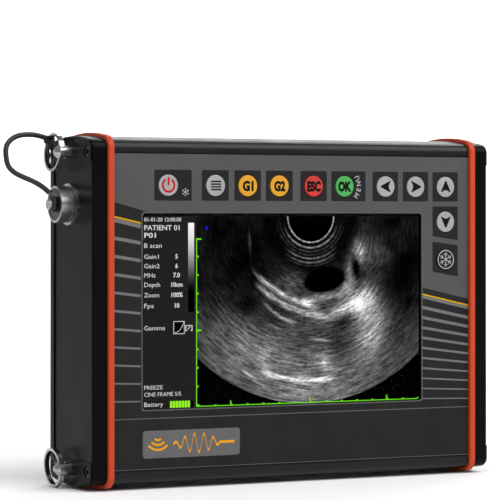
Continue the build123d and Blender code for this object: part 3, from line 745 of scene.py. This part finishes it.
glows = (
    # centre x, centre z, half width, half height, tilt, strength
    (-28.0, 71.0, 17.0, 11.0, -20.0, 0.12),
    (-2.0, 58.0, 34.0, 14.0, 0.0, 0.14),
    (6.0, 43.0, 26.0, 6.0, 0.0, 0.2),
    (-35.0, 60.0, 14.0, 10.0, -30.0, 0.04),
    (44.0, 72.0, 7.5, 15.0, -28.0, 0.36),
    (39.0, 87.0, 7.5, 10.0, -25.0, 0.56),
    (28.0, 84.5, 13.0, 3.6, 22.0, 0.55),
    (17.0, 90.3, 11.0, 2.6, 8.0, 0.36),
    (8.5, 87.0, 5.0, 2.4, -25.0, 0.4),
    (29.5, 95.5, 6.0, 2.6, 48.0, 0.4),
    (30.5, 104.0, 2.2, 5.5, -8.0, 0.3),
    (36.2, 112.6, 4.2, 6.0, 15.0, 0.42),
    (45.0, 111.0, 11.0, 10.0, 0.0, 0.13),
    (16.6, 57.4, 3.6, 4.6, 0.0, 0.28),
    (-17.3, 62.0, 3.4, 7.0, 0.0, 0.15),
    (-25.2, 116.6, 0.9, 5.5, 4.0, 0.16),
    (-2.0, 97.0, 8.0, 6.5, 0.0, 0.17),
    (-30.0, 110.0, 24.0, 22.0, 0.0, -0.07),
    (-24.0, 86.0, 8.0, 5.0, -30.0, -0.08),
    (34.6, 104.5, 1.9, 7.0, 8.0, -0.24),
    (60.0, 98.0, 13.0, 24.0, 0.0, -0.1),
    (26.0, 66.0, 8.0, 6.0, 0.0, -0.1),
    (27.5, 79.0, 4.5, 3.2, 20.0, -0.16),
    (2.0, 67.0, 10.0, 5.0, 0.0, -0.06),
)
ridges = (
    # three points, width, start, end, strength
    (((-23.6, 103.0), (-8.0, 92.4), (8.4, 86.3)), 1.7, -22.0, 8.0, 0.5),
    (((-23.6, 98.4), (-8.0, 87.8), (14.8, 81.1)), 1.6, -21.0, 16.0, 0.46),
    (((-20.5, 90.9), (-10.9, 82.4), (-0.2, 78.0)), 1.2, -17.0, -1.0, 0.36),
    (((-17.3, 78.4), (-12.0, 76.0), (-6.0, 74.2)), 0.7, -15.0, -9.0, 0.22),
    (((-17.3, 53.9), (2.0, 49.9), (23.5, 50.3)), 1.2, -17.0, 22.0, 0.5),
    (((-30.0, 56.5), (-26.0, 53.0), (-21.0, 50.5)), 0.9, -28.0, -22.0, 0.35),
    (((8.0, 69.8), (14.0, 69.2), (20.0, 68.4)), 0.7, 9.0, 20.0, 0.26),
)
echo_rings = (
    # radius, width, strength, half spread in radians
    (12.95, 0.45, 0.8, 3.0),
    (15.6, 0.55, 0.62, 1.5),
    (17.6, 0.5, 0.22, 1.9),
    (19.2, 0.4, 0.2, 1.7),
    (20.9, 0.55, 0.45, 0.9),
    (22.9, 0.55, 0.42, 0.8),
    (24.4, 0.4, 0.2, 0.8),
)


def scan_material():
    """The scan: a fan of speckled tissue round a dark disc, beside the dark column of settings."""
    material, tree, shader = new_material("scan_picture")
    x, y, z = place(tree)
    from_disc = oval(x, z, disc_x, disc_z, 1.0, 1.0)
    distance = from_disc.math("SQRT")
    angle = (x - disc_x).math("ARCTAN2", (z - disc_z) * -1.0)
    along = angle * 55.0
    streaks = noise(tree, joined(tree, distance * 0.9, along * 0.15, 3.0), 1.0, 3.0, 0.6)
    speckle = noise(tree, joined(tree, distance * 1.7, along * 0.62, 9.0), 1.0, 2.0, 0.6)
    clouds = noise(tree, joined(tree, x * 0.06, z * 0.06, 5.0), 1.0, 3.0, 0.55)
    level = z.step(50.0, 108.0, 0.29, 0.12) + (clouds - 0.5) * 0.24
    for centre_x, centre_z, half_width, half_height, tilt, strength in glows:
        level = level + bell(oval(x, z, centre_x, centre_z, half_width, half_height, tilt)) * strength
    for points, width, start, end, strength in ridges:
        level = level + ridge(x, z, points, width, start, end) * strength
    texture = (streaks - 0.5) * 2.2 + (speckle - 0.5) * 1.1 + 1.0
    tissue = level.limited(0.02, 1.0) * texture.limited(0.12, 2.4)
    cyst = oval(x, z, 16.4, 98.8, 11.9, 6.3, 9.0).step(0.72, 1.12)
    tissue = tissue * (cyst * 0.93 + 0.07)
    near = distance.step(24.0, 30.0, 1.0, 0.0)
    tissue = tissue * (near * -0.55 + 1.0)
    spread = angle.math("ABSOLUTE")
    for radius, width, strength, reach in echo_rings:
        gap = (distance - radius) / width
        seen = (streaks * 2.2 - 0.35).limited(0.0, 1.0) * spread.step(reach * 0.4, reach, 1.0, 0.0)
        tissue = tissue + bell(gap * gap) * seen * strength
    fan = oval(x, z, fan_x, fan_z, fan_radius, fan_radius).step(0.995, 1.0, 1.0, 0.0)
    scan = tissue * fan * distance.step(disc_radius - 0.2, disc_radius + 0.3)
    column = x.step(column_edge - 0.1, column_edge, 1.0, 0.0)
    shown = scan.limited(0.0, 1.0) * (column * -1.0 + 1.0) + column * 0.148
    bright = shown.power(2.2)
    grey = tree.nodes.new("ShaderNodeCombineColor")
    for channel in grey.inputs:
        tree.links.new(bright.socket, channel)
    tree.links.new(grey.outputs[0], shader.inputs["Emission Color"])
    shader.inputs["Emission Strength"].default_value = 1.0
    shader.inputs["Base Color"].default_value = (0.0, 0.0, 0.0, 1.0)
    shader.inputs["Specular IOR Level"].default_value = 0.0
    shader.inputs["Roughness"].default_value = 0.9
    return material


def scale_material():
    """The grey scale: white at its top down to black."""
    material, tree, shader = new_material("grey_scale")
    x, y, z = place(tree)
    bright = z.step(92.0, 127.0, 0.0, 0.95).power(1.6)
    grey = tree.nodes.new("ShaderNodeCombineColor")
    for channel in grey.inputs:
        tree.links.new(bright.socket, channel)
    tree.links.new(grey.outputs[0], shader.inputs["Emission Color"])
    shader.inputs["Emission Strength"].default_value = 1.0
    shader.inputs["Base Color"].default_value = (0.0, 0.0, 0.0, 1.0)
    shader.inputs["Specular IOR Level"].default_value = 0.0
    return material


lit_white = glowing("lit_white", linear(215, 215, 215))
lit_green = glowing("lit_green", linear(105, 215, 30))
lit_lime = glowing("lit_lime", linear(150, 240, 40))
lit_blue = glowing("lit_blue", linear(20, 20, 235))
lit_black = glowing("lit_black", linear(2, 2, 2))


def screen_plates(name, outlines, material, back=None):
    back = picture_front if back is None else back
    meshes = [plate([outline], back, dot) for outline in outlines]
    return piece(name, meshes, material, "root")


def screen_writing():
    left = -82.1
    rows = (
        # text, baseline, capital height, width, weight
        ("01-01-20 12:00:00", 127.35, 1.9, 19.7, 0.02),
        ("PATIENT 01", 123.2, 2.5, 18.8, 0.05),
        ("P01", 119.65, 2.4, 6.2, 0.07),
        ("B scan", 114.8, 2.3, 9.3, 0.0),
        ("Gain1", 109.6, 2.2, 7.7, 0.0),
        ("Gain2", 105.1, 2.2, 8.1, 0.0),
        ("MHz", 100.7, 2.2, 6.0, 0.0),
        ("Depth", 96.2, 2.2, 8.4, 0.0),
        ("Zoom", 91.3, 2.2, 7.9, 0.0),
        ("Fps", 86.2, 2.2, 5.0, 0.0),
        ("Gamma", 75.6, 2.2, 11.0, 0.0),
        ("FREEZE", 47.4, 2.0, 9.8, 0.0),
        ("CINE FRAME 5/5", 44.1, 2.0, 19.6, 0.0),
        ("Battery", 39.3, 2.2, 10.0, 0.0),
    )
    values = (("5", 109.6), ("6", 105.1), ("7.0", 100.7), ("10cm", 96.2), ("100%", 91.3), ("10", 86.2))
    meshes = [
        words(text, left, base, height, picture_front, dot, width, weight=weight)
        for text, base, height, width, weight in rows
    ]
    meshes += [
        words(text, -64.9, base, 2.2, picture_front, dot, align="CENTER", weight=0.08)
        for text, base in values
    ]
    meshes.append(words("[7]", -60.2, 75.6, 2.2, picture_front, dot, 3.8, weight=0.05))
    box = rectangle(-66.6, 73.55, -60.6, 79.7)
    inner = rectangle(-66.3, 73.85, -60.9, 79.4)
    meshes.append(plate([box, inner], picture_front, dot))
    bend = [(-66.0, 74.1), (-64.4, 74.5), (-62.9, 75.7), (-61.7, 77.4), (-61.1, 79.2)]
    meshes += [plate([bar(a, b, 0.25)], picture_front, dot) for a, b in zip(bend, bend[1:])]
    piece("screen_writing", meshes, lit_white, "root")


def screen_axes():
    """Green scales: one up the left of the scan, one along its bottom, with dots and ticks."""
    upright = [rectangle(column_edge - 0.25, 38.4, column_edge + 0.25, 119.3)]
    upright += [rectangle(column_edge, z - 0.4, -51.6, z + 0.4) for z in (118.9, 75.1)]
    upright += [rectangle(column_edge, 38.9 + 8.9 * i, -53.0, 39.8 + 8.9 * i) for i in range(9)]
    level = [rectangle(column_edge, 38.4, picture_right - 0.9, 38.85)]
    level += [rectangle(-53.3 + 8.79 * i, 38.8, -52.2 + 8.79 * i, 39.35) for i in range(15)]
    level += [rectangle(x - 0.35, 38.8, x + 0.35, 41.0) for x in (-35.6, 8.25, 52.15)]
    screen_plates("screen_axes", upright + level, lit_green)


def screen_pictures():
    whole = rectangle(picture_left, picture_bottom - 0.4, picture_right, picture_top, 0.8)
    screen_plates("screen_picture", [whole], scan_material(), screen_back)
    screen_plates("screen_scale", [rectangle(-58.7, 84.0, -55.5, 126.7)], scale_material())
    dark = [rectangle(-57.5, 38.3, -55.9, 41.6), rectangle(-66.3, 73.85, -60.9, 79.4)]
    screen_plates("screen_dark", dark, lit_black)
    cells = [rectangle(-68.4 + 1.56 * i, 38.4, -67.1 + 1.56 * i, 41.6) for i in range(7)]
    screen_plates("screen_battery", cells, lit_lime)
    screen_plates("screen_dot", [circle(-48.7, 124.1, 0.75, 16)], lit_blue)


screen_pictures()
screen_writing()
screen_axes()

# ---------------------------------------------------------------- the dust cap's tether
# Diameters of the cord, of the cord pulled tight in its knot, and of the ring's wire;
# the ring's lean to the side for each millimetre of height; then the knot's own sizes.
tether = 2.6
tied = 1.5
ring_wire = 1.3
ring_lean = 0.07
tie_angle = 47
turn_height = 1.6
turn_width = 2.15
knot_depth = 2.8
tether_upper = [
    (-116.4, 14.1, 167.3),
    (-121.2, 13.0, 168.6),
    (-127.6, 11.9, 169.0),
    (-133.6, 10.8, 168.2),
    (-138.0, 9.7, 165.7),
    (-140.5, 8.6, 162.2),
    (-140.5, 7.7, 158.3),
]
tether_lower = [
    (-140.5, 7.7, 158.3),
    (-140.5, 6.8, 154.4),
    (-137.8, 5.9, 150.9),
    (-133.4, 4.9, 148.6),
    (-128.8, 3.8, 146.7),
    (-124.2, 2.5, 144.2),
    (-120.9, 1.0, 140.9),
]
tail_points = [
    # angle from the ring's top, distance outwards and sideways from its wire
    (58, -2.6, 0.0),
    (68, -1.9, -0.7),
    (82, -1.7, -0.5),
    (96, -2.0, 0.5),
    (110, -1.9, 0.3),
    (120, -2.3, -0.3),
]


def ring_spot(angle, outwards, along, sideways):
    """A point near the tether's ring, at an angle from its top towards the rear."""
    low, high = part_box("ring_left_top")
    centre = (low + high) / 2 / MM
    radius = (high.z - low.z) / 2 / MM - ring_wire / 2 + outwards
    out = Vector((0.0, sin(radians(angle)), cos(radians(angle))))
    onward = Vector((0.0, cos(radians(angle)), -sin(radians(angle))))
    lean = ring_lean * radius * out.z
    return tuple(centre + out * radius + onward * along + Vector((sideways + lean, 0.0, 0.0)))


def cord_line(points, closed=False):
    """A smooth line with these control points."""
    curve = bpy.data.curves.new("line", "CURVE")
    curve.dimensions = "3D"
    curve.resolution_u = 12
    spline = curve.splines.new("NURBS")
    spline.points.add(len(points) - 1)
    for point, spot in zip(spline.points, points):
        point.co = (*(Vector(spot) * MM), 1.0)
    spline.order_u = 3
    spline.use_endpoint_u = not closed
    spline.use_cyclic_u = closed
    return curve


def cord_tube(name, points, diameter, closed=False):
    """A mesh tube along a smooth line, and the points of that line."""
    path = [tuple(v.co) for v in solid_from(cord_line(points, closed)).vertices]
    curve = cord_line(points, closed)
    curve.bevel_depth = diameter / 2 * MM
    curve.bevel_resolution = 5
    curve.use_fill_caps = not closed
    mesh = solid_from(curve)
    mesh.name = name
    mesh.materials.clear()
    mesh.materials.append(materials["tether_black"])
    for face in mesh.polygons:
        face.use_smooth = True
    tube = bpy.data.objects.new(name, mesh)
    scene.collection.objects.link(tube)
    return tube, path


upper, upper_path = cord_tube("tether_upper", tether_upper, tether)
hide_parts("tether_cord_upper")
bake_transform(upper)
lower, lower_path = cord_tube("tether_lower", tether_lower, tether)
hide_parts("tether_cord_lower")
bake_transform(lower)


def tie():
    """The cord's two turns round the ring's wire, its knot inside the ring and the knot's short tail."""
    made = []
    for i, along in enumerate((-0.8, 0.8)):
        turns = [radians(45 * step) for step in range(8)]
        loop = [ring_spot(tie_angle, turn_height * sin(t), along, turn_width * cos(t)) for t in turns]
        made.append(cord_tube(f"tether_turn_{i + 1}", loop, tied, closed=True)[0])
    turns = [2 * pi * step / 24 for step in range(24)]
    knot = [
        ring_spot(
            tie_angle,
            0.5 * (cos(t) - 2 * cos(2 * t)) - knot_depth,
            1.6 + 0.6 * (sin(t) + 2 * sin(2 * t)),
            -1.0 * sin(3 * t),
        )
        for t in turns
    ]
    made.append(cord_tube("tether_knot", knot, tied, closed=True)[0])
    tail = [ring_spot(angle, outwards, 0.0, side) for angle, outwards, side in tail_points]
    made.append(cord_tube("tether_tail", tail, tied)[0])
    for part in made:
        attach(part, "strap_ring_left_top")
    return made


tie()

# ---------------------------------------------------------------- stage
floor_level = cad_low.z


def pale_floor():
    """A plain sweep: a level floor that curves up behind the scanner."""
    bend = [
        (floor_reach - sweep_radius + sweep_radius * sin(radians(a)), sweep_radius * (1 - cos(radians(a))))
        for a in range(0, 91, 6)
    ]
    line = [(-floor_reach, 0.0), *bend, (floor_reach, sweep_height)]
    shape = bmesh.new()
    columns = []
    for x in (-floor_side, floor_side):
        columns.append([shape.verts.new((x, y, floor_level + rise)) for y, rise in line])
    for i in range(len(line) - 1):
        shape.faces.new((columns[0][i], columns[1][i], columns[1][i + 1], columns[0][i + 1])).smooth = True
    mesh = bpy.data.meshes.new("floor")
    shape.to_mesh(mesh)
    shape.free()
    white = (floor_white, floor_white, floor_white)
    mesh.materials.append(surface("floor_pale", white, 0.85, mottle=0.01, grain=8.0, specular=0.1))
    floor = bpy.data.objects.new("floor", mesh)
    scene.collection.objects.link(floor)


pale_floor()
world = bpy.data.worlds.new("studio")
scene.world = world
world.use_nodes = True
world.node_tree.nodes["Background"].inputs["Color"].default_value = (1.0, 1.0, 1.0, 1.0)
world.node_tree.nodes["Background"].inputs["Strength"].default_value = sky_light
scene.view_settings.view_transform = "Standard"
middle = (0.0, 0.0, 0.08)
add_light("key_softbox", (-0.5, -0.7, 2.1), middle, 1.4, 1.0, 16.0)
add_light("top_softbox", (0.75, -1.3, 1.5), middle, 2.0, 1.5, 34.0)
add_light("side_softbox", (-1.7, 0.5, 0.5), middle, 0.5, 0.5, 1.5)
add_light("back_softbox", (2.2, 1.6, 2.4), (2.2, 3.6, 0.2), 2.0, 1.2, 120.0)
